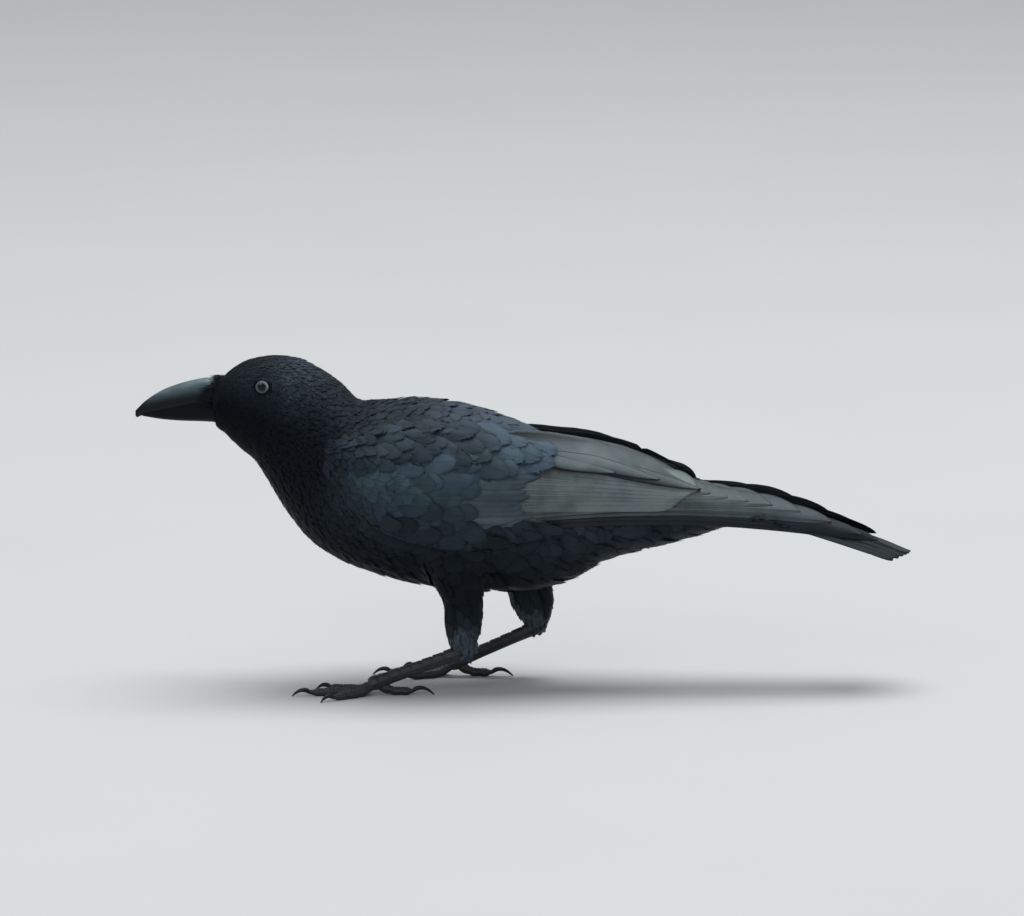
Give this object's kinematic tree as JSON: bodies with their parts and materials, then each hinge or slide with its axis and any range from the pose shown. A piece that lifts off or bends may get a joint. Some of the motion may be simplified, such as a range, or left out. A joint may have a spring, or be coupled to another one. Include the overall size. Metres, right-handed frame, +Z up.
{
  "type": "crow",
  "caption": "Black crow with pale eyes and a stout bill, standing low in mid-stride with its head raised, wings folded over the tail and one foot ahead of the other.",
  "frame": {"origin": "on the floor, under the middle of the bird's box", "axes": "+Z up; the bill points along -X; the bird's left side is towards -Y"},
  "size_m": [0.4924, 0.1098, 0.2138],
  "materials": {
    "plumage": "glossy blue-black body feathers, greyer where the light grazes them",
    "quills": "glossy blue-black flight and tail feathers",
    "bill": "black horn with a dull polish",
    "eye": "wet, with a pale blue-white iris and a black pupil",
    "scales": "black leathery scutes",
    "claw": "black horn"
  },
  "bodies": {
    "root": {"head": "plumage", "neck": "plumage", "trunk": "plumage", "bill_upper": "bill", "bill_lower": "bill", "eye_left": "eye", "wing_left_coverts": "plumage", "wing_left_secondaries": "quills", "wing_left_primaries": "quills", "eye_right": "eye", "wing_right_coverts": "plumage", "wing_right_secondaries": "quills", "wing_right_primaries": "quills", "tail_left": "quills", "tail_middle": "quills", "tail_right": "quills", "thigh_left": "plumage", "tarsus_left": "scales", "toe_left_1": "scales", "claw_left_1": "claw", "toe_left_2": "scales", "claw_left_2": "claw", "toe_left_3": "scales", "claw_left_3": "claw", "toe_left_4": "scales", "claw_left_4": "claw", "thigh_right": "plumage", "tarsus_right": "scales", "toe_right_1": "scales", "claw_right_1": "claw", "toe_right_2": "scales", "claw_right_2": "claw", "toe_right_3": "scales", "claw_right_3": "claw", "toe_right_4": "scales", "claw_right_4": "claw"}
  },
  "joints": []
}
